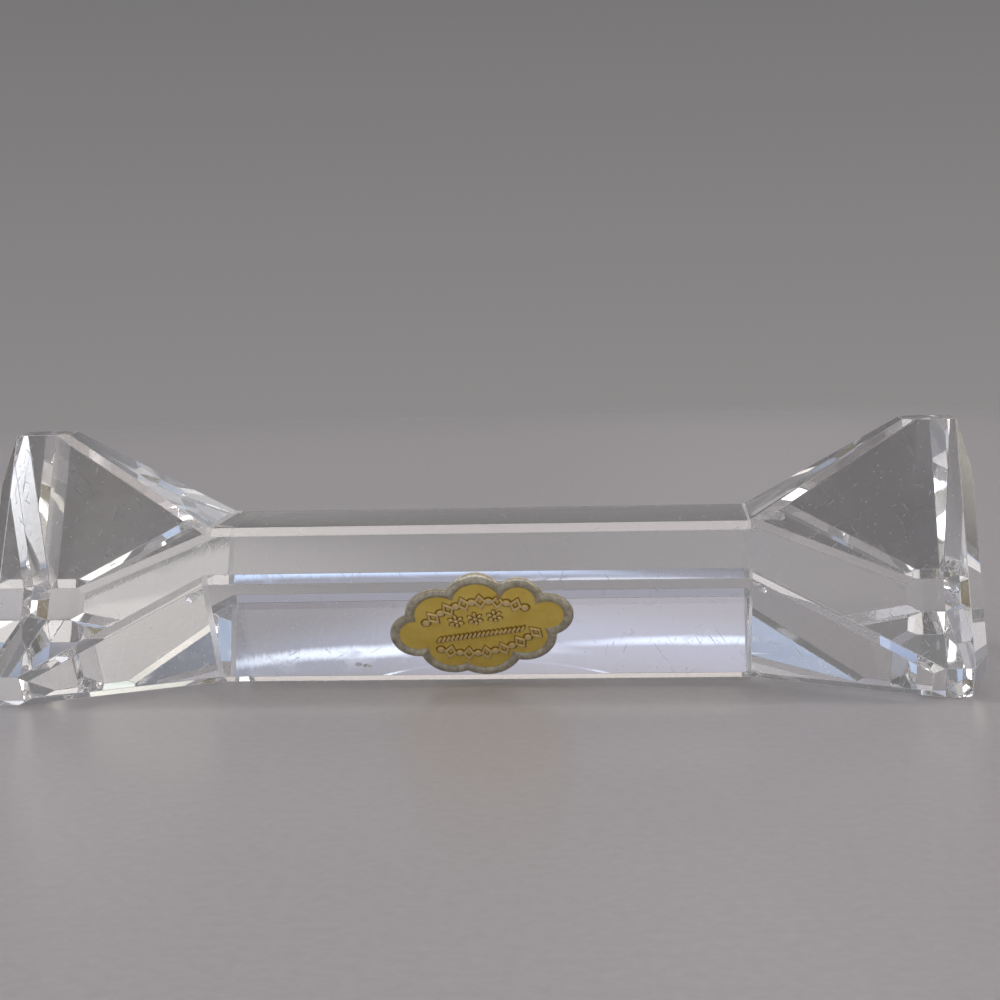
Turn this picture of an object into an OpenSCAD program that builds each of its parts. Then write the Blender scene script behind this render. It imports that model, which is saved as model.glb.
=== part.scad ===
// Knife rest of hand-cut lead crystal, with a small foil label
//
// A three-sided stick of clear crystal lies on one of its sides. A notch is
// ground across each of its three long edges, which leaves a slim bar with six
// facets between two flared ends. The knife lies across the bar's top facet.
// An embossed foil label is gummed to the bar's lower front facet.
//
// X runs along the bar, the front looks to -Y, and the rest stands on Z = 0.
// The core is the line along X through the middle of the blank. A facet is
// named by its turn, the angle about the core from straight up toward the
// front, and by its reach, the distance of its plane from the core.

/* [Crystal blank] */
// Length over the two end faces
rest_length = 94.8; // [90:0.2:104]
// Side of the three-sided blank, measured to its sharp corners
blank_side = 33.5; // [32.8:0.1:35.5]
// Height of the two ends, where the top corner is ground flat
end_height = 24.9; // [23.6:0.1:25.8]
// Reach of the flats ground on the two lower corners
corner_reach = 16.3; // [15.6:0.1:17.2]

/* [Notches] */
// Length of the bar between the slopes of the notches
bar_length = 52; // [46:0.5:56]
// Height of the bar's top facet, which is the seat of the knife
bar_height = 15.9; // [15:0.1:17]
// Reach of the bar's two lower facets
side_reach = 8; // [7.5:0.1:8.7]
// Slope of the top notch against the bar, in degrees
top_slope = 31; // [28:1:36]
// Slope of the two lower notches against the bar, in degrees
side_slope = 27; // [25:1:32]

/* [Ground edges] */
// Width of the strip ground along the edges of the top notch
top_arris = 1.4; // [0.6:0.1:1.8]
// Width of the strip along the middle ridge of the bar, front and back
ridge_arris = 1; // [0.6:0.1:1.6]
// Width of the strip along the bottom edge of the bar, front and back
foot_arris = 1.4; // [0.6:0.1:1.8]
// Run along X of the facets that break the rim of the two end faces
rim_run = 1.4; // [0.8:0.1:2]
// Drop of the top corner's facet down the end face
apex_drop = 4.8; // [3:0.1:6]
// Drop of the lower corners' facets across the end face
corner_drop = 2.4; // [1.5:0.1:4]

/* [Label] */
// Width of the label over its end lobes
label_width = 17.9; // [16:0.1:19]
// Height of the label over its middle lobes
label_height = 12.3; // [10.8:0.1:12.5]
// Radius of the two end lobes
end_lobe_radius = 2.65; // [2.3:0.05:3]
// Radius of the four corner lobes
corner_lobe_radius = 2.85; // [2.5:0.05:3.1]
// Radius of the two middle lobes
middle_lobe_radius = 3.1; // [2.7:0.05:3.4]
// Distance of the label's middle above the middle of its facet
label_rise = 0.64; // [0:0.02:0.8]
// Tilt of the label on its facet, in degrees
label_tilt = 9; // [-12:1:12]
// Thickness of the gum under the label
gum_thickness = 0.06; // [0.04:0.01:0.1]
// Thickness of the label's paper
paper_thickness = 0.12; // [0.08:0.01:0.2]
// Thickness of the label's foil
foil_thickness = 0.1; // [0.06:0.01:0.2]
// Height of the embossed rim and ornament above the foil
emboss_height = 0.16; // [0.08:0.01:0.24]
// Width of the embossed rim
emboss_rim = 0.75; // [0.5:0.05:1]
// Width of one lozenge in the two rows that follow the rim
lozenge_size = 0.9; // [0.6:0.05:1.1]
// Width of the three lozenges in the middle
middle_lozenge_size = 1.4; // [1:0.05:1.7]

/* [Hidden] */
$fn = 96;

// Every side of the blank lies this far from the core
core_height = blank_side / 2 * tan(30);
half_length = rest_length / 2;
apex_reach = end_height - core_height;
seat_reach = bar_height - core_height;

// Turns of the facets, six to a turn: top, front, lower front, base, and back
top_turn = 0;
front_turn = 60;
lower_front_turn = 120;
ridge_turn = 90;
blank_reaches = [apex_reach, core_height, corner_reach,
                 core_height, corner_reach, core_height];

// Places in the label as shares of its half width and half height
corner_lobe_shares = [0.447, 0.358];
lozenge_row_shares = [0.66, 0.58];
lozenge_row_count = 9;
lozenge_row_span = 104;
middle_pitch_share = 0.3;

// Point where the planes of two facets meet, as [Y, Z] from the core
function facet_corner(turn_a, reach_a, turn_b, reach_b) =
    [reach_a * cos(turn_b) - reach_b * cos(turn_a),
     reach_a * sin(turn_b) - reach_b * sin(turn_a)] / sin(turn_b - turn_a);

// Reach of a strip of one width that is ground along the edge between two
// facets, which look 30 degrees to either side of it
function arris_reach(reach_a, reach_b, width) =
    (reach_a + reach_b) / 2 / cos(30) - width / 2 * tan(30);

// Slope at which such a strip follows the notch up to the end
function arris_slope(slope) = atan(tan(30) * tan(slope));

ridge_reach = arris_reach(side_reach, core_height, ridge_arris);

module at_core() {
    translate([0, 0, core_height]) children();
}

// Draws a profile in the plane of X and reach, as wide as the whole blank
module facet_cut(turn) {
    rotate([turn, 0, 0])
        rotate([90, 0, 0])
            linear_extrude(height = 2 * blank_side, center = true)
                children();
}

// Space that a grinding wheel clears: flat over the bar, sloping at its ends
module notch(turn, floor_reach, slope) {
    half = bar_length / 2;
    run = (blank_side - floor_reach) / tan(slope);
    facet_cut(turn)
        polygon([[-half, floor_reach], [half, floor_reach],
                 [half + run, blank_side], [-half - run, blank_side]]);
}

// A notch with the two strips that are ground along its edges
module edged_notch(turn, reach, slope, arris_before, arris_after) {
    notch(turn, reach, slope);
    notch(turn - 30, arris_reach(reach, core_height, arris_before), arris_slope(slope));
    notch(turn + 30, arris_reach(reach, core_height, arris_after), arris_slope(slope));
}

// Facet across the rim of both end faces
module rim_facet(turn, reach, drop) {
    for (end = [0, 1])
        mirror([end, 0, 0])
            facet_cut(turn)
                polygon([[half_length - 2 * rim_run, reach + drop],
                         [half_length + rim_run, reach - 2 * drop],
                         [half_length + rim_run, reach + drop]]);
}

module crystal_body() {
    color("lightcyan")
    at_core()
    difference() {
        rotate([90, 0, 90])
            linear_extrude(height = rest_length, center = true)
                polygon([for (i = [0:5])
                    facet_corner(60 * i, blank_reaches[i],
                                 60 * (i + 1), blank_reaches[(i + 1) % 6])]);
        edged_notch(top_turn, seat_reach, top_slope, top_arris, top_arris);
        edged_notch(lower_front_turn, side_reach, side_slope, ridge_arris, foot_arris);
        edged_notch(-lower_front_turn, side_reach, side_slope, foot_arris, ridge_arris);
        for (side = [0:2])
            rim_facet(front_turn + 120 * side, core_height, rim_run);
        rim_facet(top_turn, apex_reach, apex_drop);
        rim_facet(lower_front_turn, corner_reach, corner_drop);
        rim_facet(-lower_front_turn, corner_reach, corner_drop);
    }
}

// Outline of the label, drawn in by a width: eight lobes round a middle
module label_outline(inset) {
    half_w = label_width / 2;
    half_h = label_height / 2;
    lobes = [[half_w - end_lobe_radius, 0, end_lobe_radius],
             [half_w * corner_lobe_shares[0], half_h * corner_lobe_shares[1], corner_lobe_radius],
             [0, half_h - middle_lobe_radius, middle_lobe_radius]];
    for (x = [0, 1])
        for (y = [0, 1])
            mirror([x, 0])
                mirror([0, y]) {
                    polygon([[0, 0], [lobes[0][0], lobes[0][1]],
                             [lobes[1][0], lobes[1][1]], [lobes[2][0], lobes[2][1]]]);
                    for (lobe = lobes)
                        translate([lobe[0], lobe[1]]) circle(r = lobe[2] - inset);
                }
}

// Lozenges in a row along the upper and lower rim, and three in the middle
module label_ornament() {
    row_w = label_width / 2 * lozenge_row_shares[0];
    row_h = label_height / 2 * lozenge_row_shares[1];
    for (below = [0, 1])
        mirror([0, below])
            for (i = [0 : lozenge_row_count - 1]) {
                turn = (i / (lozenge_row_count - 1) - 1 / 2) * lozenge_row_span;
                translate([row_w * sin(turn), row_h * cos(turn)])
                    rotate(-turn)
                        circle(d = lozenge_size, $fn = 4);
            }
    for (i = [-1:1])
        translate([i * label_width / 2 * middle_pitch_share, 0])
            circle(d = middle_lozenge_size, $fn = 4);
}

// Stands a drawing of the label up on its facet, through all the layers
module on_label() {
    at_core()
        rotate([lower_front_turn, 0, 0])
            translate([0, label_rise, 0])
                rotate([0, 0, label_tilt])
                    linear_extrude(height = 2 * side_reach)
                        children();
}

// Sheet that lies on the lower front facet and folds over the ridge strip,
// from one height above the glass to another
module folded_sheet(from, to) {
    at_core()
        rotate([90, 0, 90])
            linear_extrude(height = bar_length, center = true)
                polygon([facet_corner(lower_front_turn, side_reach + from,
                                      lower_front_turn + 90, blank_side / 2),
                         facet_corner(lower_front_turn, side_reach + from,
                                      ridge_turn, ridge_reach + from),
                         facet_corner(ridge_turn, ridge_reach + from,
                                      ridge_turn - 90, blank_side / 2),
                         facet_corner(ridge_turn, ridge_reach + to,
                                      ridge_turn - 90, blank_side / 2),
                         facet_corner(lower_front_turn, side_reach + to,
                                      ridge_turn, ridge_reach + to),
                         facet_corner(lower_front_turn, side_reach + to,
                                      lower_front_turn + 90, blank_side / 2)]);
}

module label_gum() {
    color("khaki")
    intersection() {
        on_label() label_outline(0);
        folded_sheet(0, gum_thickness);
    }
}

module label_paper() {
    color("white")
    intersection() {
        on_label() label_outline(0);
        folded_sheet(gum_thickness, gum_thickness + paper_thickness);
    }
}

module label_foil() {
    under = gum_thickness + paper_thickness;
    field = under + foil_thickness;
    color("goldenrod")
    difference() {
        intersection() {
            on_label() label_outline(0);
            folded_sheet(under, field + emboss_height);
        }
        intersection() {
            on_label()
                difference() {
                    label_outline(emboss_rim);
                    label_ornament();
                }
            folded_sheet(field, field + 2 * emboss_height);
        }
    }
}

crystal_body();
label_gum();
label_paper();
label_foil();
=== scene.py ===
# Knife rest of cut lead crystal with a small embossed foil label
from math import atan2, cos, hypot, pi, radians, sin, tan
from random import Random

import bmesh
import bpy
from mathutils import Matrix, Vector, noise


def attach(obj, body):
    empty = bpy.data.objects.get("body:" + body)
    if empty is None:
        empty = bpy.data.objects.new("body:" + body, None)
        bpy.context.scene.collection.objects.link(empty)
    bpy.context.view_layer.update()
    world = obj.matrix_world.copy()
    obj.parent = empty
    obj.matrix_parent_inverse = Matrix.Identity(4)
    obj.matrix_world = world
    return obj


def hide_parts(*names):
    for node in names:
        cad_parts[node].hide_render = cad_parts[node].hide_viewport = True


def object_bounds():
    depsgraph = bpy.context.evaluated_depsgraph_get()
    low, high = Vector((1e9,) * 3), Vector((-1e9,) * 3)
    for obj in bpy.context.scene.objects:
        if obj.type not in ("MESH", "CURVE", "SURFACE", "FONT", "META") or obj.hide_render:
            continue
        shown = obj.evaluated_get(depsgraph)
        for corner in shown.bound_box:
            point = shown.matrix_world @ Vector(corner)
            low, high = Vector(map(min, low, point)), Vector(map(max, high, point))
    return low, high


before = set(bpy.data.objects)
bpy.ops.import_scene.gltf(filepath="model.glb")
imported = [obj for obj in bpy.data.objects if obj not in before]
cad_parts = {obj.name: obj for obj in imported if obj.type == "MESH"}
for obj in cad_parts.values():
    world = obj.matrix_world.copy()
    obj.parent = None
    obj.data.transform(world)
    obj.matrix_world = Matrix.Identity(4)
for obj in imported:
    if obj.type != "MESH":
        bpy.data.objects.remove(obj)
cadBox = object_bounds()
scene = bpy.context.scene
mm = 0.001
print("frame loaded:", sorted(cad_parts))


def toLinear(hexColour):
    channels = [int(hexColour[i:i + 2], 16) / 255 for i in (1, 3, 5)]
    return tuple(c / 12.92 if c <= 0.04045 else ((c + 0.055) / 1.055) ** 2.4
                 for c in channels) + (1.0,)


def newMaterial(name):
    material = bpy.data.materials.new(name)
    material.use_nodes = True
    material.node_tree.nodes.clear()
    return material, material.node_tree


# Adds one node. Settings are its own properties, sockets its values or links
def addNode(tree, kind, sockets=None, **settings):
    node = tree.nodes.new(kind)
    for key, value in settings.items():
        setattr(node, key, value)
    for key, value in (sockets or {}).items():
        if isinstance(value, bpy.types.NodeSocket):
            tree.links.new(value, node.inputs[key])
        else:
            node.inputs[key].default_value = value
    return node


def setRamp(node, stops):
    ramp = node.color_ramp
    while len(ramp.elements) < len(stops):
        ramp.elements.new(1.0)
    for element, (place, colour) in zip(ramp.elements, stops):
        element.position = place
        element.color = toLinear(colour) if isinstance(colour, str) else (*colour, 1.0)
    return node


# Scale of a pattern whose grains have a size in mm
def grainScale(size):
    return 1 / (size * mm)


# Way from the rest to a point of the room. Azimuth 0 is behind the rest as the
# camera sees it, and 90 is to the right
def wayTo(elevation, azimuth):
    e, a = radians(elevation), radians(azimuth)
    return Vector((sin(a) * cos(e), cos(a) * cos(e), sin(e)))


def makePiece(name, bm, materials, smooth=False):
    mesh = bpy.data.meshes.new(name)
    bm.to_mesh(mesh)
    bm.free()
    for material in materials:
        mesh.materials.append(material)
    for polygon in mesh.polygons:
        polygon.use_smooth = smooth
    piece = bpy.data.objects.new(name, mesh)
    scene.collection.objects.link(piece)
    return piece


# Camera at the photograph's place and angle
cameraSet = {
    "place": (17.56, -201.27, 40.73),  # mm
    "yaw": -4.485,
    "pitch": -6.58,
    "roll": -1.416,
    "lens": 73.8,
    "sensor": 36.0,
    "clip": 5.0,  # mm
}


def placeCamera():
    yaw, roll = radians(cameraSet["yaw"]), radians(cameraSet["roll"])
    ahead = wayTo(cameraSet["pitch"], cameraSet["yaw"])
    side = Vector((cos(yaw), -sin(yaw), 0))
    up = side.cross(ahead)
    right = side * cos(roll) + up * sin(roll)
    top = up * cos(roll) - side * sin(roll)
    data = bpy.data.cameras.new("camera")
    data.lens = cameraSet["lens"]
    data.sensor_width = cameraSet["sensor"]
    data.clip_start = cameraSet["clip"] * mm
    camera = bpy.data.objects.new("camera", data)
    scene.collection.objects.link(camera)
    turn = Matrix((right, top, -ahead)).transposed().to_4x4()
    camera.matrix_world = Matrix.Translation(Vector(cameraSet["place"]) * mm) @ turn
    scene.camera = camera


placeCamera()
print("camera placed")

# Lower front facet of the bar: the height of the bar's middle line over the
# table and the facet's distance from it, in mm, then the ways up and off it
barSet = {"core": 9.6706, "reach": 8.0}
upFacet = Vector((0, -cos(radians(60)), sin(radians(60))))
offFacet = Vector((0, -sin(radians(60)), -cos(radians(60))))

# Crystal body, all sizes, places and heights in mm
crystalSet = {
    "colour": "#fbfcfd",
    "ior": 1.545,
    "weld": 0.002,
    "flatAngle": 0.5,  # degrees, under which two faces are one facet
    # Worn line along every cut edge, wider where the bar meets the slopes
    "edgeWidth": 0.14,
    "leftJointWidth": 0.55,
    "rightJointWidth": 0.3,
    "jointPlace": 26.0,  # from the middle of the bar
    "jointNear": 0.05,
    "edgeTransmission": 0.7,
    "edgeRoughness": (0.28, 0.45),
    "nibbles": 0.9,  # unevenness along the worn line
    # Marks on the polished facets: size along each axis, turn, the part of the
    # noise that is raised, and its height
    "marks": [
        ((14, 14, 14), (0, 0, 0), 0.0, 1.0, 0.012),  # facets not quite flat
        ((0.11, 4, 3), (0.3, -0.64, 0.1), 0.73, 0.79, -0.0014),  # hairline scratches
        ((0.1, 3, 5), (0.9, 1.03, 0.2), 0.74, 0.8, -0.0014),
        ((0.11, 5, 3), (-0.5, 0.3, -0.1), 0.74, 0.8, -0.0012),
    ],
    "scratchRoughness": 0.5,
    # Wheel marks across the bar: their size along each axis, and their height
    # by the place along the bar
    "grooves": (0.45, 9, 9),
    "grooveHeights": [(-47.4, 0.0005), (-27, 0.0005), (-25.5, 0.0032), (-16, 0.002),
                      (-5, 0.0004), (17, 0.0004), (25.5, 0.0014), (27, 0.0005)],
    # Dust and wiped smears: size, the part of the noise that shows, roughness
    "dust": (0.22, 0.7, 0.78, 0.5),
    "smears": (4.5, 0.55, 0.75, 0.09),
    # Small flakes that broke off where two ground edges meet: a place, how far
    # the flakes lie from it along X, their size, and how many there are
    "flakes": [
        ((-26.5, -10.0, 9.8), 1.0, 0.55, 7),
        ((26.5, -10.0, 9.8), 0.8, 0.55, 6),
        ((-27.4, -6.9, 16.4), 1.2, 0.5, 5),
        ((27.6, -6.9, 16.5), 1.4, 0.55, 6),
        ((-30.2, -10.6, 13.9), 0.9, 0.35, 3),
        ((-13.4, -9.9, 10.15), 0.2, 0.22, 1),
        ((-11.6, -4.62, 1.83), 0.8, 0.24, 4),
        ((-26.2, -3.75, 0.55), 0.6, 0.34, 3),
        ((26.3, -3.75, 0.55), 0.6, 0.34, 3),
        ((-26.4, 9.95, 9.75), 0.9, 0.4, 3),
        ((26.2, 9.95, 9.7), 0.9, 0.4, 3),
        ((8.0, 6.95, 15.85), 9.0, 0.2, 4),
        ((-12.0, 6.95, 15.85), 8.0, 0.2, 3),
        ((46.6, 0.4, 24.6), 0.4, 0.3, 2),
    ],
    "flakeShape": {
        "sizeShares": (0.6, 1.15),  # of the size given above
        "across": 0.12,  # how far a flake lies off its place across the bar
        "up": 0.3,
        "dents": 0.45,  # size of the dents in a flake
        "dentShare": 0.55,
        "stretch": (1.4, 0.8, 1.0),
    },
    # Faint step where the rim of the grinding wheel last touched the lower
    # front facet: an arc that rises from the bar's foot. It is so shallow that
    # it only turns the glass by one degree, which is enough to catch the light
    "wheelArc": {
        "middle": 1.3,  # along the bar
        "top": -4.1,  # up the facet from its middle
        "radius": 35.0,
        "depth": 0.004,
        "width": 0.24,
        "steps": 5,  # thickness of the cutting rim, in depths of the step
        "segments": 720,
    },
}
halfLength = cadBox[1][0] / mm


def polishedCrystal():
    # Lead crystal, ground and then polished by hand: clear and bright, with
    # facets that are not quite flat, faint wheel marks near the ends of the
    # bar, a few hairline scratches from use, dust and places wiped dull
    material, tree = newMaterial("leadCrystalPolished")
    place = addNode(tree, "ShaderNodeTexCoord").outputs["Object"]
    along = addNode(tree, "ShaderNodeSeparateXYZ", {"Vector": place}).outputs["X"]
    share = addNode(tree, "ShaderNodeMapRange",
                    {"Value": along, "From Min": -halfLength * mm, "From Max": halfLength * mm})
    nearEnds = setRamp(addNode(tree, "ShaderNodeValToRGB", {"Fac": share.outputs["Result"]}),
                       [((x / halfLength + 1) / 2, (tall, tall, tall))
                        for x, tall in crystalSet["grooveHeights"]])
    across = addNode(tree, "ShaderNodeMapping",
                     {"Vector": place, "Scale": [grainScale(d) for d in crystalSet["grooves"]]})
    grooves = addNode(tree, "ShaderNodeTexNoise",
                      {"Vector": across.outputs["Vector"], "Scale": 1.0, "Detail": 3.0})
    height = addNode(tree, "ShaderNodeMath",
                     {0: grooves.outputs["Fac"], 1: nearEnds.outputs["Color"]},
                     operation="MULTIPLY").outputs["Value"]
    worn = 0.0
    for size, turn, low, high, tall in crystalSet["marks"]:
        lie = addNode(tree, "ShaderNodeMapping",
                      {"Vector": place, "Rotation": turn, "Scale": tuple(d * mm for d in size)},
                      vector_type="TEXTURE")
        grain = addNode(tree, "ShaderNodeTexNoise",
                        {"Vector": lie.outputs["Vector"], "Scale": 1.0, "Detail": 1.5})
        mark = addNode(tree, "ShaderNodeMapRange",
                       {"Value": grain.outputs["Fac"], "From Min": low, "From Max": high,
                        "To Max": tall})
        height = addNode(tree, "ShaderNodeMath", {0: height, 1: mark.outputs["Result"]},
                         operation="ADD").outputs["Value"]
        if tall < 0:
            worn = addNode(tree, "ShaderNodeMath",
                           {0: mark.outputs["Result"],
                            1: crystalSet["scratchRoughness"] / tall, 2: worn},
                           operation="MULTIPLY_ADD").outputs["Value"]
    bump = addNode(tree, "ShaderNodeBump",
                   {"Strength": 1.0, "Distance": mm, "Height": height})
    size, low, high, dull = crystalSet["dust"]
    specks = addNode(tree, "ShaderNodeTexNoise",
                     {"Vector": place, "Scale": grainScale(size), "Detail": 2.0})
    dust = addNode(tree, "ShaderNodeMapRange",
                   {"Value": specks.outputs["Fac"], "From Min": low, "From Max": high,
                    "To Max": dull})
    size, low, high, dull = crystalSet["smears"]
    wiped = addNode(tree, "ShaderNodeTexNoise",
                    {"Vector": place, "Scale": grainScale(size), "Detail": 4.0,
                     "Distortion": 0.6})
    smear = addNode(tree, "ShaderNodeMapRange",
                    {"Value": wiped.outputs["Fac"], "From Min": low, "From Max": high,
                     "To Max": dull})
    marked = addNode(tree, "ShaderNodeMath", {0: worn, 1: dust.outputs["Result"]},
                     operation="MAXIMUM")
    rough = addNode(tree, "ShaderNodeMath",
                    {0: marked.outputs["Value"], 1: smear.outputs["Result"]},
                    operation="MAXIMUM")
    glass = addNode(tree, "ShaderNodeBsdfPrincipled",
                    {"Base Color": toLinear(crystalSet["colour"]), "IOR": crystalSet["ior"],
                     "Transmission Weight": 1.0, "Roughness": rough.outputs["Value"],
                     "Normal": bump.outputs["Normal"]})
    addNode(tree, "ShaderNodeOutputMaterial", {"Surface": glass.outputs["BSDF"]})
    return material


def groundEdge():
    # The same glass where the wheel and years of use have broken an edge: its
    # fine fractures scatter light, so it shows as a thin pale line
    material, tree = newMaterial("leadCrystalGroundEdge")
    place = addNode(tree, "ShaderNodeTexCoord").outputs["Object"]
    nibble = addNode(tree, "ShaderNodeTexNoise",
                     {"Vector": place, "Scale": grainScale(crystalSet["nibbles"]),
                      "Detail": 2.0})
    low, high = crystalSet["edgeRoughness"]
    rough = addNode(tree, "ShaderNodeMapRange",
                    {"Value": nibble.outputs["Fac"], "From Min": 0.4, "From Max": 0.65,
                     "To Min": low, "To Max": high})
    glass = addNode(tree, "ShaderNodeBsdfPrincipled",
                    {"Base Color": toLinear(crystalSet["colour"]), "IOR": crystalSet["ior"],
                     "Transmission Weight": crystalSet["edgeTransmission"],
                     "Roughness": rough.outputs["Result"]})
    addNode(tree, "ShaderNodeOutputMaterial", {"Surface": glass.outputs["BSDF"]})
    return material


# Rough little balls that cut the flakes
def addFlakes(bm):
    shape = crystalSet["flakeShape"]
    chance = Random(41)
    for place, spread, size, count in crystalSet["flakes"]:
        for i in range(count):
            radius = size * chance.uniform(*shape["sizeShares"])
            ball = bmesh.ops.create_icosphere(bm, subdivisions=2, radius=radius * mm)["verts"]
            seed = Vector((chance.uniform(-9, 9), chance.uniform(-9, 9), i))
            middle = Vector(place)
            for axis, off in enumerate((spread, shape["across"], shape["up"])):
                middle[axis] += chance.uniform(-off, off)
            for vert in ball:
                dent = noise.noise(vert.co / (shape["dents"] * mm) + seed)
                swell = 1 + shape["dentShare"] * dent
                vert.co = vert.co * swell * Vector(shape["stretch"]) + middle * mm
    for face in bm.faces:
        face.material_index = 1


# Flat cone that cuts the wheel's step. It stays thin, so that it clears the
# slopes at the bar's ends
def addWheel(bm):
    arc = crystalSet["wheelArc"]
    radius, depth, steps = arc["radius"], arc["depth"], arc["steps"]
    wheel = bmesh.ops.create_cone(bm, cap_ends=True, segments=arc["segments"],
                                  depth=steps * depth * mm, radius1=radius * mm,
                                  radius2=(radius + steps * arc["width"]) * mm)
    middle = Vector((arc["middle"], 0, barSet["core"]))
    middle += upFacet * (arc["top"] - radius)
    middle += offFacet * (barSet["reach"] + (steps / 2 - 1) * depth)
    stand = Matrix((Vector((1, 0, 0)), upFacet, offFacet)).transposed().to_4x4()
    bmesh.ops.transform(bm, matrix=Matrix.Translation(middle * mm) @ stand, verts=wheel["verts"])


def chipEdges(piece):
    bm = bmesh.new()
    addFlakes(bm)
    addWheel(bm)
    cutter = makePiece("flakeCutter", bm, piece.data.materials[:])
    chip = piece.modifiers.new("chips", "BOOLEAN")
    chip.operation, chip.solver, chip.use_self = "DIFFERENCE", "EXACT", True
    chip.object = cutter
    bpy.context.view_layer.update()
    shaped = bpy.data.meshes.new_from_object(
        piece.evaluated_get(bpy.context.evaluated_depsgraph_get()))
    piece.modifiers.clear()
    piece.data = shaped
    bpy.data.objects.remove(cutter)
    print("chips cut, faces:", len(shaped.polygons))


# Edges of the bar's end on one side, where it meets the slopes
def jointEdges(bm, side):
    place, near = crystalSet["jointPlace"] * mm, crystalSet["jointNear"] * mm
    return [edge for edge in bm.edges
            if all(abs(side * vert.co.x - place) < near for vert in edge.verts)]


def makeCrystal():
    bm = bmesh.new()
    bm.from_mesh(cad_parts["crystal_body"].data)
    bmesh.ops.remove_doubles(bm, verts=bm.verts, dist=crystalSet["weld"] * mm)
    bmesh.ops.dissolve_limit(bm, angle_limit=radians(crystalSet["flatAngle"]), delimit=set(),
                             use_dissolve_boundaries=False, verts=bm.verts, edges=bm.edges)
    for face in bm.faces:
        face.material_index = 0
    print("crystal facets:", len(bm.faces), "edges:", len(bm.edges))
    left, right = jointEdges(bm, -1), jointEdges(bm, 1)
    print("joint edges:", len(left), len(right))
    for edges, width in ((left, "leftJointWidth"), (right, "rightJointWidth"),
                         (None, "edgeWidth")):
        if edges is None:
            edges = [edge for edge in bm.edges
                     if all(face.material_index == 0 for face in edge.link_faces)]
        ground = bmesh.ops.bevel(bm, geom=edges, offset=crystalSet[width] * mm / 2,
                                 offset_type="OFFSET", segments=1, profile=0.5, affect="EDGES",
                                 clamp_overlap=True, material=-1, loop_slide=True)
        for face in ground["faces"]:
            face.material_index = 1
    bmesh.ops.recalc_face_normals(bm, faces=bm.faces)
    piece = makePiece("crystalBody", bm, [polishedCrystal(), groundEdge()])
    chipEdges(piece)
    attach(piece, "root")
    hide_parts("crystal_body")


makeCrystal()
print("crystal made")

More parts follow.
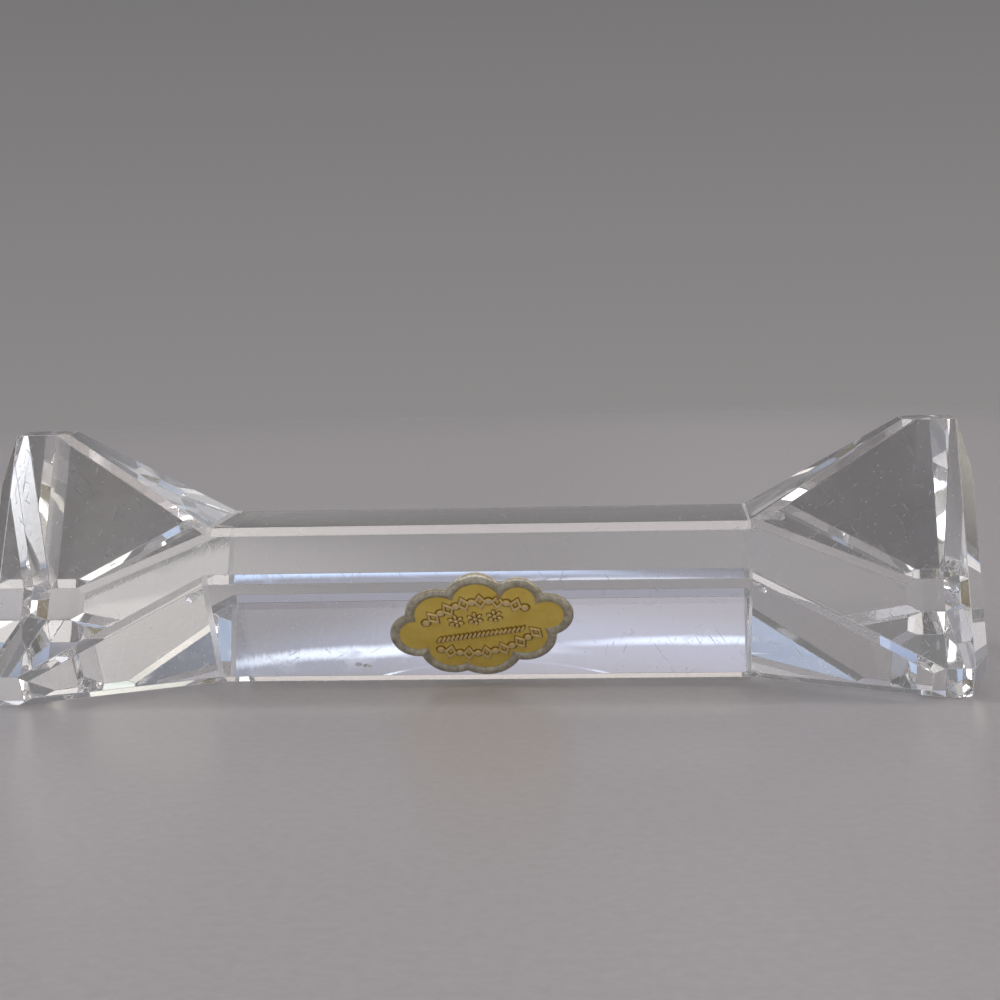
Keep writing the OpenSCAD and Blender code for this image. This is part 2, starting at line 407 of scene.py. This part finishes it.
# Label of gum, paper and embossed foil on the lower front facet, sizes in mm
labelSet = {
    "rise": 0.64,  # middle of the label above the middle of its facet
    "tilt": 9.0,  # degrees
    "crease": 5.969,  # up the facet to where the ridge strip starts
    "creaseTurn": 30,  # degrees, how far the strip turns from the facet
    "creaseSoft": 0.22,
    # Lobes of the outline: x, y, radius
    "lobes": [(6.77, 0.33, 2.56), (4.4, 2.48, 2.56), (0.43, 2.83, 3.26), (-3.48, 1.85, 3.32),
              (-6.09, -0.09, 2.67), (-3.05, -2.1, 3.3), (0.1, -2.38, 3.77), (4.11, -1.79, 3.17)],
    # Each layer: points round and out from the middle, how far its edge lies
    # inside the outline, its two heights over the glass, how ragged its edge is
    "gum": {"spokes": 200, "rings": 14, "inset": 0.12, "low": -0.01, "high": 0.06, "ragged": 0.1},
    "paper": {"spokes": 400, "rings": 16, "inset": 0.0, "low": 0.055, "high": 0.18,
              "ragged": 0.02},
    "foil": {"spokes": 520, "rings": 84, "inset": 0.07, "low": 0.175, "high": 0.28,
             "ragged": 0.0, "embossed": True},
    "weld": 0.004,
    "ringPower": 0.8,  # under 1, it draws the rings of points toward the edge
    "ragCircle": 9,  # radius of the circle in the noise that the edge follows
    # Pressed relief: rim, ornament, and waves in the foil
    "emboss": 0.24,
    "rimWidth": 0.9,
    "rimEnd": 1.2,  # in rim widths, where the ornament may start
    "bareEdge": (0.98, 1.08),  # the same where the bare foil of the rim ends
    "fieldShare": 0.62,  # of the way out, where no rim is met yet
    "ornamentShare": 0.95,  # height of the ornament against the rim's
    "ornamentRoom": 0.9,  # least distance to the rim, in sizes of the motif
    "cockle": 0.012,
    "cocklesPerMm": 0.9,
    # Two bows of lozenges and beads: count, left end, length, height in the
    # middle, fall to the ends per mm2, middle, size of a bead and of a lozenge
    "bows": [(15, -5.7, 11.4, 3.1, 0.068, 0.2, 0.46, 0.98),
             (13, -5.1, 10.4, -3.25, -0.06, 0.0, 0.44, 0.94)],
    "rosettes": (-2.0, -0.1, 1.8),
    "rosetteHeight": 1.05,
    "rosetteSize": 0.84,
    "strands": 20,
    "cordEnds": (-4.1, 4.1),
    "cordHeight": -0.95,
    "strandSize": 0.5,
    "strandTurn": -38,  # degrees
    # Motifs, in shares of their size: where a round top falls off, widths, the
    # ring of a lozenge, and the hub and petals of a rosette
    "topShares": (0.5, 1.2),
    "strandShare": 0.34,
    "lozengeShare": 0.68,
    "ringShares": (0.7, 0.14, 0.36),
    "hubShares": (0.16, 0.36),
    "petals": 6,
    "petalShares": (0.62, 0.36, 0.24),  # place, length, width
    # Looks: colours by place in the noise, and sizes of the noises' grains
    "lacquer": [(0.3, "#f0cf60"), (0.55, "#fcde72"), (0.75, "#ffe88a")],
    # Painted shade at the feet of the relief and painted highlight on its crests, by the relief's
    # height
    "reliefShadeAndHighlight": [(0.0, "#ffffff"), (0.1, "#8c7a5c"), (0.3, "#7d6a4c"), (0.6, "#e8dcc0"),
               (1.0, "#fff6e4")],
    # Colour of the painted highlight on the crests of the relief
    "crestHighlight": "#e9dfc9",
    "bareFoil": [(0.3, "#a39c87"), (0.5, "#c5beaa"), (0.7, "#e4decb")],
    "foilMetallic": 0.55,
    "foilRoughness": (0.48, 0.28),  # of the lacquer and of the bare rim
    "blotches": 2.381,
    "wear": 0.66667,
    "grit": 0.16667,  # coarser than real, so that it shows
    "stock": [(0.3, "#cfc8b6"), (0.7, "#efebe0")],
    "stockRoughness": 0.85,
    "fibres": 0.4,
    "grain": 0.02,  # height of the grit and the fibres
    "driedGum": [(0.35, "#ddd5c0"), (0.5, "#d4c9aa"), (0.68, "#c6b78f")],
    "gumRoughness": 0.35,
    "gumPools": 1.66667,
}
offRidge = Vector((0, -1, 0))


def softStep(low, high, value):
    t = min(max((value - low) / (high - low), 0.0), 1.0)
    return t * t * (3 - 2 * t)


# Distance from the label's middle to its outline, in one direction
def outlineAt(turn):
    best = 0.0
    for x, y, r in labelSet["lobes"]:
        along = x * cos(turn) + y * sin(turn)
        inside = r * r - x * x - y * y + along * along
        if inside > 0:
            best = max(best, along + inside ** 0.5)
    return best


# Point on the bar's front, a height above the glass, for a point of the label
def onFacet(x, y, height):
    tilt = radians(labelSet["tilt"])
    across = x * cos(tilt) - y * sin(tilt)
    up = x * sin(tilt) + y * cos(tilt) + labelSet["rise"]
    over = up - labelSet["crease"]
    reach = barSet["reach"] - max(over, 0.0) * tan(radians(labelSet["creaseTurn"]))
    turn = softStep(-labelSet["creaseSoft"], labelSet["creaseSoft"], over)
    off = offFacet.lerp(offRidge, turn).normalized()
    point = upFacet * up + offFacet * reach + off * height
    return Vector((across, point.y, point.z + barSet["core"])) * mm


ornament = []


# Adds a motif where it stays clear of the rim
def addOrnament(kind, x, y, size, turn=0.0):
    depth = max(r - hypot(x - cx, y - cy) for cx, cy, r in labelSet["lobes"])
    inner = hypot(x, y) < labelSet["fieldShare"] * outlineAt(atan2(y, x))
    if inner or depth > labelSet["rimWidth"] + labelSet["ornamentRoom"] * size:
        ornament.append((kind, x, y, size, cos(turn), sin(turn)))


# Lozenges and beads in two bows, with three rosettes and a cord between them
def layOutOrnament():
    for count, left, length, height, fall, middle, bead, lozenge in labelSet["bows"]:
        for i in range(count):
            x = left + length * i / (count - 1)
            y, slope = height - fall * (x - middle) ** 2, -2 * fall * (x - middle)
            kind, size = ("bead", bead) if i % 2 else ("lozenge", lozenge)
            addOrnament(kind, x, y, size, atan2(slope, 1))
    for x in labelSet["rosettes"]:
        addOrnament("rosette", x, labelSet["rosetteHeight"], labelSet["rosetteSize"])
    left, right = labelSet["cordEnds"]
    for i in range(labelSet["strands"]):
        x = left + (right - left) * i / (labelSet["strands"] - 1)
        addOrnament("strand", x, labelSet["cordHeight"], labelSet["strandSize"],
                    radians(labelSet["strandTurn"]))


layOutOrnament()


# Height of one motif at a point of its own frame, from 0 to 1
def motif(kind, a, b, size):
    low, high = labelSet["topShares"]
    if kind == "bead":
        return 1 - softStep(low, high, hypot(a, b) / size)
    if kind == "strand":
        return 1 - softStep(low, high, hypot(a / labelSet["strandShare"], b) / size)
    if kind == "lozenge":
        ring, inner, outer = labelSet["ringShares"]
        q = (abs(a) / labelSet["lozengeShare"] + abs(b)) / size
        return 1 - softStep(inner, outer, abs(q - ring))
    best = 1 - softStep(*labelSet["hubShares"], hypot(a, b) / size)
    place, length, width = labelSet["petalShares"]
    for petal in range(labelSet["petals"]):
        turn = petal * 2 * pi / labelSet["petals"] + pi / 2
        u, v = a * cos(turn) + b * sin(turn), b * cos(turn) - a * sin(turn)
        off = hypot((u / size - place) / length, v / size / width)
        best = max(best, 1 - softStep(low, high, off))
    return best


# Height of the pressed relief at a point of the label, and how bare its foil is
def pressed(x, y):
    outer = outlineAt(atan2(y, x))
    if hypot(x, y) > labelSet["fieldShare"] * outer:
        depth = max(r - hypot(x - cx, y - cy) for cx, cy, r in labelSet["lobes"])
        t = depth / labelSet["rimWidth"]
        if t < labelSet["rimEnd"]:
            return max(0.0, 1 - (2 * t - 1) ** 2), 1 - softStep(*labelSet["bareEdge"], t)
    best = 0.0
    for kind, cx, cy, size, c, s in ornament:
        dx, dy = x - cx, y - cy
        if abs(dx) < 1.3 * size and abs(dy) < 1.3 * size:
            best = max(best, motif(kind, dx * c + dy * s, dy * c - dx * s, size))
    return labelSet["ornamentShare"] * best, 0.0


# One layer of the label: a slab with the lobed outline, between two heights
def layerMesh(spokes, rings, inset, low, high, ragged, embossed=False):
    bm = bmesh.new()
    bmesh.ops.create_grid(bm, x_segments=spokes, y_segments=rings, size=0.5)
    for vert in bm.verts:
        turn, share = (vert.co.x + 0.5) * 2 * pi, vert.co.y + 0.5
        edge = noise.noise(Vector((cos(turn), sin(turn), 0)) * labelSet["ragCircle"]) * ragged
        far = (outlineAt(turn) - inset + edge) * share ** labelSet["ringPower"]
        vert.co = Vector((far * cos(turn), far * sin(turn), 0))
    bmesh.ops.remove_doubles(bm, verts=bm.verts, dist=labelSet["weld"])
    bmesh.ops.recalc_face_normals(bm, faces=bm.faces)
    if bm.faces[0].normal.z > 0:
        bmesh.ops.reverse_faces(bm, faces=bm.faces)
    raised = bm.verts.layers.float.new("raised")
    bare = bm.verts.layers.float.new("bare")
    grown = bmesh.ops.extrude_face_region(bm, geom=bm.faces[:], use_keep_orig=True)
    top = {item for item in grown["geom"] if isinstance(item, bmesh.types.BMVert)}
    for vert in bm.verts:
        x, y = vert.co.x, vert.co.y
        height = high if vert in top else low
        if embossed and vert in top:
            lift, vert[bare] = pressed(x, y)
            vert[raised] = lift
            cockle = noise.noise(Vector((x, y, 0)) * labelSet["cocklesPerMm"])
            height += lift * labelSet["emboss"] + cockle * labelSet["cockle"]
        vert.co = onFacet(x, y, height)
    bmesh.ops.recalc_face_normals(bm, faces=bm.faces)
    return bm


def lacquerFoil():
    # Pressed aluminium foil with gold lacquer in the field and a grey rim:
    # satin, with a painted highlight on the crests and painted shade at their feet
    material, tree = newMaterial("goldLacqueredFoil")
    place = addNode(tree, "ShaderNodeTexCoord").outputs["Object"]
    raised = addNode(tree, "ShaderNodeAttribute", attribute_name="raised").outputs["Fac"]
    bare = addNode(tree, "ShaderNodeAttribute", attribute_name="bare").outputs["Fac"]
    blotch = addNode(tree, "ShaderNodeTexNoise",
                     {"Vector": place, "Scale": grainScale(labelSet["blotches"]),
                      "Detail": 4.0, "Roughness": 0.65})
    lacquer = setRamp(addNode(tree, "ShaderNodeValToRGB", {"Fac": blotch.outputs["Fac"]}),
                      labelSet["lacquer"])
    # Painted shade darkens the feet of the relief and a painted highlight lightens its crests
    reliefShadeAndHighlight = setRamp(addNode(tree, "ShaderNodeValToRGB", {"Fac": raised}), labelSet["reliefShadeAndHighlight"])
    field = addNode(tree, "ShaderNodeMix",
                    {0: 1.0, 6: lacquer.outputs["Color"], 7: reliefShadeAndHighlight.outputs["Color"]},
                    data_type="RGBA", blend_type="MULTIPLY")
    # Painted highlight: the crests of the relief are mixed toward a pale cream
    crestHighlight = addNode(tree, "ShaderNodeMapRange",
                    {"Value": raised, "From Min": 0.55, "From Max": 0.95, "To Max": 0.55})
    pale = addNode(tree, "ShaderNodeMix",
                   {0: crestHighlight.outputs["Result"], 6: field.outputs[2],
                    7: toLinear(labelSet["crestHighlight"])}, data_type="RGBA")
    worn = addNode(tree, "ShaderNodeTexNoise",
                   {"Vector": place, "Scale": grainScale(labelSet["wear"]),
                    "Detail": 3.0, "Roughness": 0.7})
    rim = setRamp(addNode(tree, "ShaderNodeValToRGB", {"Fac": worn.outputs["Fac"]}),
                  labelSet["bareFoil"])
    both = addNode(tree, "ShaderNodeMix",
                   {0: bare, 6: pale.outputs[2], 7: rim.outputs["Color"]}, data_type="RGBA")
    grit = addNode(tree, "ShaderNodeTexNoise",
                   {"Vector": place, "Scale": grainScale(labelSet["grit"]),
                    "Detail": 2.0, "Roughness": 0.6})
    bump = addNode(tree, "ShaderNodeBump",
                   {"Strength": 0.5, "Distance": labelSet["grain"] * mm,
                    "Height": grit.outputs["Fac"]})
    inField, onRim = labelSet["foilRoughness"]
    rough = addNode(tree, "ShaderNodeMapRange",
                    {"Value": bare, "To Min": inField, "To Max": onRim})
    foil = addNode(tree, "ShaderNodeBsdfPrincipled",
                   {"Base Color": both.outputs[2], "Metallic": labelSet["foilMetallic"],
                    "Roughness": rough.outputs["Result"], "Normal": bump.outputs["Normal"]})
    addNode(tree, "ShaderNodeOutputMaterial", {"Surface": foil.outputs["BSDF"]})
    return material


def labelPaperStock():
    # Uncoated white label paper with a fibrous grain
    material, tree = newMaterial("uncoatedPaper")
    place = addNode(tree, "ShaderNodeTexCoord").outputs["Object"]
    fibre = addNode(tree, "ShaderNodeTexNoise",
                    {"Vector": place, "Scale": grainScale(labelSet["fibres"]),
                     "Detail": 4.0, "Roughness": 0.7})
    tint = setRamp(addNode(tree, "ShaderNodeValToRGB", {"Fac": fibre.outputs["Fac"]}),
                   labelSet["stock"])
    bump = addNode(tree, "ShaderNodeBump",
                   {"Strength": 0.4, "Distance": labelSet["grain"] * mm,
                    "Height": fibre.outputs["Fac"]})
    paper = addNode(tree, "ShaderNodeBsdfPrincipled",
                    {"Base Color": tint.outputs["Color"], "Roughness": labelSet["stockRoughness"],
                     "Normal": bump.outputs["Normal"]})
    addNode(tree, "ShaderNodeOutputMaterial", {"Surface": paper.outputs["BSDF"]})
    return material


def driedGum():
    # Dried animal gum: honey-coloured where it is thick, so the label's back
    # looks mottled through the crystal
    material, tree = newMaterial("driedGum")
    place = addNode(tree, "ShaderNodeTexCoord").outputs["Object"]
    pool = addNode(tree, "ShaderNodeTexNoise",
                   {"Vector": place, "Scale": grainScale(labelSet["gumPools"]),
                    "Detail": 3.0, "Distortion": 1.2})
    tint = setRamp(addNode(tree, "ShaderNodeValToRGB", {"Fac": pool.outputs["Fac"]}),
                   labelSet["driedGum"])
    gum = addNode(tree, "ShaderNodeBsdfPrincipled",
                  {"Base Color": tint.outputs["Color"], "Roughness": labelSet["gumRoughness"]})
    addNode(tree, "ShaderNodeOutputMaterial", {"Surface": gum.outputs["BSDF"]})
    return material


def makeLabel():
    layers = [("labelGum", "label_gum", driedGum(), labelSet["gum"]),
              ("labelPaper", "label_paper", labelPaperStock(), labelSet["paper"]),
              ("labelFoil", "label_foil", lacquerFoil(), labelSet["foil"])]
    for name, node, material, shape in layers:
        piece = makePiece(name, layerMesh(**shape), [material], smooth=True)
        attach(piece, "root")
        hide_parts(node)


makeLabel()
print("label made")

# Stage: pale table and soft light of a room
stageSet = {
    "boardRadius": 0.9,  # m
    "boardDrop": 0.02,  # mm
    "boardColour": "#aeabac",
    "boardShades": (0.95, 1.05),
    "boardGrain": 1.11111,  # mm
    "boardRoughness": 0.3,
    "boardSpecular": 0.25,
    "fade": (0.26, 0.42),  # m from the middle, where the table fades out
    # Tone of the room from straight down to straight up
    "tones": [
        (0.0, (0.28, 0.27, 0.27)),
        (0.456, (0.27, 0.26, 0.26)),
        (0.57, (0.185, 0.18, 0.18)),
        (0.638, (0.2, 0.2, 0.21)),
        (0.75, (0.3, 0.288, 0.315)),
        (0.81, (0.3, 0.288, 0.315)),
        (0.854, (0.24, 0.23, 0.24)),
        (0.93, (0.13, 0.13, 0.13)),
        (1.0, (0.05, 0.05, 0.05)),
    ],
    # Soft lights of the room: elevation and azimuth of the middle, width and
    # height, all in degrees, then strength, colour, softness of the edge, tilt
    "glows": [
        (51.0, -172.0, 80.0, 26.0, 0.5, "#fffaf4", 0.35, 0.0),
        (36.0, 178.0, 70.0, 10.0, 1.7, "#fff6ec", 0.4, 0.0),
        (67.0, 3.0, 44.0, 8.0, 3.6, "#fff4f0", 0.6, 0.0),
        (10.06, -8.5, 11.0, 0.26, 1.0, "#bcd6ff", 0.8, -2.8),
        (9.42, 0.0, 10.0, 0.14, 0.5, "#eef2ff", 0.7, -1.0),
        (9.25, -3.0, 36.0, 1.5, 0.24, "#dcdcfa", 0.5, -2.8),
        (33.1, -9.7, 8.6, 0.46, 0.85, "#e6f2ff", 0.6, -6.0),
        (32.7, 1.5, 6.6, 0.32, 0.72, "#d8e8ff", 0.6, 0.0),
        (33.0, -5.0, 26.0, 1.9, 0.2, "#a8c0f4", 0.9, -4.0),
        (34.0, 5.0, 22.0, 12.0, 0.18, "#f6eeff", 0.35, 0.0),
        (22.0, 178.0, 50.0, 17.0, 0.6, "#b9d6ff", 0.5, 0.0),
        (9.0, -44.0, 26.0, 16.0, 0.8, "#fff8ee", 0.4, 0.0),
        (10.0, 66.0, 34.0, 20.0, 0.6, "#fff6ea", 0.4, 0.0),
        (76.5, -165.0, 40.0, 10.0, 0.75, "#fff4ee", 0.5, 0.0),
        (26.0, -147.0, 14.0, 11.0, 1.6, "#ffffff", 0.4, 0.0),
        (33.5, -42.0, 14.0, 8.0, 0.8, "#f4fff0", 0.4, 0.0),
        (33.5, 22.0, 9.0, 7.0, 0.7, "#ffffff", 0.4, 0.0),
        (15.0, -32.0, 12.0, 8.0, 0.6, "#fffff0", 0.4, 0.0),
        (15.5, 3.0, 10.0, 6.0, 0.5, "#f0f6ff", 0.4, 0.0),
        (16.6, 66.0, 9.0, 8.0, 2.2, "#fffbe4", 0.4, 0.0),
        (8.0, 18.0, 9.0, 6.0, 0.4, "#a8c8ff", 0.4, 0.0),
    ],
    # Side lamps: name, elevation, azimuth, distance and two sizes in m,
    # radiance, colour
    "boxes": [
        ("rightBox", 34, 96, 0.9, (0.56, 0.46), 3.5, "#fff8f0"),
        ("leftBox", 34, -88, 0.9, (0.44, 0.46), 4.2, "#f2f6ff"),
    ],
    # Soft pool of light on the table beside the rest
    "poolPlace": (-0.072, 0.046),  # m
    "poolWay": (62, -65),  # elevation and azimuth
    "poolDistance": 0.6,
    "poolWidth": 0.13,
    "poolPower": 9,
    "poolColour": "#fffdf4",
}


def makeFloor():
    material, tree = newMaterial("paleBoard")
    place = addNode(tree, "ShaderNodeTexCoord").outputs["Object"]
    grain = addNode(tree, "ShaderNodeTexNoise",
                    {"Vector": place, "Scale": grainScale(stageSet["boardGrain"]),
                     "Detail": 3.0, "Roughness": 0.6})
    dark, pale = ([c * shade for c in toLinear(stageSet["boardColour"])[:3]]
                  for shade in stageSet["boardShades"])
    tint = setRamp(addNode(tree, "ShaderNodeValToRGB", {"Fac": grain.outputs["Fac"]}),
                   [(0.3, dark), (0.7, pale)])
    board = addNode(tree, "ShaderNodeBsdfPrincipled",
                    {"Base Color": tint.outputs["Color"],
                     "Roughness": stageSet["boardRoughness"],
                     "Specular IOR Level": stageSet["boardSpecular"]})
    reach = addNode(tree, "ShaderNodeVectorMath", {0: place}, operation="LENGTH")
    near, far = stageSet["fade"]
    fade = addNode(tree, "ShaderNodeMapRange",
                   {"Value": reach.outputs["Value"], "From Min": near, "From Max": far},
                   interpolation_type="SMOOTHERSTEP")
    gone = addNode(tree, "ShaderNodeBsdfTransparent")
    both = addNode(tree, "ShaderNodeMixShader",
                   {0: fade.outputs["Result"], 1: board.outputs["BSDF"], 2: gone.outputs["BSDF"]})
    addNode(tree, "ShaderNodeOutputMaterial", {"Surface": both.outputs["Shader"]})
    bm = bmesh.new()
    bmesh.ops.create_circle(bm, cap_ends=True, segments=96, radius=stageSet["boardRadius"])
    floor = makePiece("tableTop", bm, [material])
    floor.location.z = -stageSet["boardDrop"] * mm


# Adds one soft oval of light to the sky's colour. The third scale is so large
# that only the distances across and up from the oval's middle count
def addGlow(tree, way, below, elevation, azimuth, width, height, strength, colour, soft, tilt):
    a, t = radians(azimuth), radians(tilt)
    middle = wayTo(elevation, azimuth)
    side = Vector((cos(a), -sin(a), 0))
    rise = side.cross(middle)
    across, upward = side * cos(t) + rise * sin(t), rise * cos(t) - side * sin(t)
    turn = Matrix((across, upward, -middle)).transposed().to_euler()
    lie = addNode(tree, "ShaderNodeMapping",
                  {"Vector": way, "Rotation": turn,
                   "Scale": (sin(radians(width / 2)), sin(radians(height / 2)), 1e6)},
                  vector_type="TEXTURE")
    off = addNode(tree, "ShaderNodeVectorMath", {0: lie.outputs["Vector"]}, operation="LENGTH")
    share = addNode(tree, "ShaderNodeMapRange",
                    {"Value": off.outputs["Value"], "From Min": 1 - soft, "From Max": 1 + soft,
                     "To Min": 1.0, "To Max": 0.0}, interpolation_type="SMOOTHSTEP")
    light = tuple(c * strength for c in toLinear(colour)[:3])
    return addNode(tree, "ShaderNodeVectorMath",
                   {0: share.outputs["Result"], 1: light, 2: below},
                   operation="MULTIPLY_ADD").outputs["Vector"]


def makeSky():
    world = bpy.data.worlds.new("softRoom")
    scene.world = world
    world.use_nodes = True
    tree = world.node_tree
    tree.nodes.clear()
    way = addNode(tree, "ShaderNodeTexCoord").outputs["Generated"]
    parts = addNode(tree, "ShaderNodeSeparateXYZ", {"Vector": way})
    height = addNode(tree, "ShaderNodeMapRange",
                     {"Value": parts.outputs["Z"], "From Min": -1.0, "From Max": 1.0})
    tone = setRamp(addNode(tree, "ShaderNodeValToRGB", {"Fac": height.outputs["Result"]}),
                   stageSet["tones"])
    light = tone.outputs["Color"]
    for glow in stageSet["glows"]:
        light = addGlow(tree, way, light, *glow)
    # The camera sees the plain tone; the glows only light the rest
    ray = addNode(tree, "ShaderNodeLightPath")
    seen = addNode(tree, "ShaderNodeMix",
                   {0: ray.outputs["Is Camera Ray"], 6: light, 7: tone.outputs["Color"]},
                   data_type="RGBA")
    back = addNode(tree, "ShaderNodeBackground", {"Color": seen.outputs[2], "Strength": 1.0})
    addNode(tree, "ShaderNodeOutputWorld", {"Surface": back.outputs["Background"]})


# Hangs a lamp that looks at a place on the table, at a distance in m
def hangLamp(name, data, colour, place, way, distance):
    data.color = toLinear(colour)[:3]
    lamp = bpy.data.objects.new(name, data)
    scene.collection.objects.link(lamp)
    lamp.location = Vector((*place, 0)) + way * distance
    lamp.rotation_euler = way.to_track_quat("Z", "Y").to_euler()
    lamp.visible_camera = False


def makeLamps():
    for name, elevation, azimuth, distance, size, radiance, colour in stageSet["boxes"]:
        data = bpy.data.lights.new(name, "AREA")
        data.shape = "RECTANGLE"
        data.size, data.size_y = size
        data.energy = radiance * pi * size[0] * size[1]
        hangLamp(name, data, colour, (0, 0), wayTo(elevation, azimuth), distance)
    data = bpy.data.lights.new("leftPool", "SPOT")
    data.energy, data.shadow_soft_size, data.spot_blend = stageSet["poolPower"], 0.0, 1.0
    data.spot_size = 2 * atan2(stageSet["poolWidth"] / 2, stageSet["poolDistance"])
    hangLamp("leftPool", data, stageSet["poolColour"], stageSet["poolPlace"],
             wayTo(*stageSet["poolWay"]), stageSet["poolDistance"])


makeFloor()
makeSky()
makeLamps()
print("stage made")

scene.view_settings.view_transform = "Standard"
scene.cycles.max_bounces = 32  # light crosses the crystal many times
scene.cycles.glossy_bounces = 24
scene.cycles.transmission_bounces = 24
scene.cycles.diffuse_bounces = 3
scene.cycles.sample_clamp_indirect = 3.0
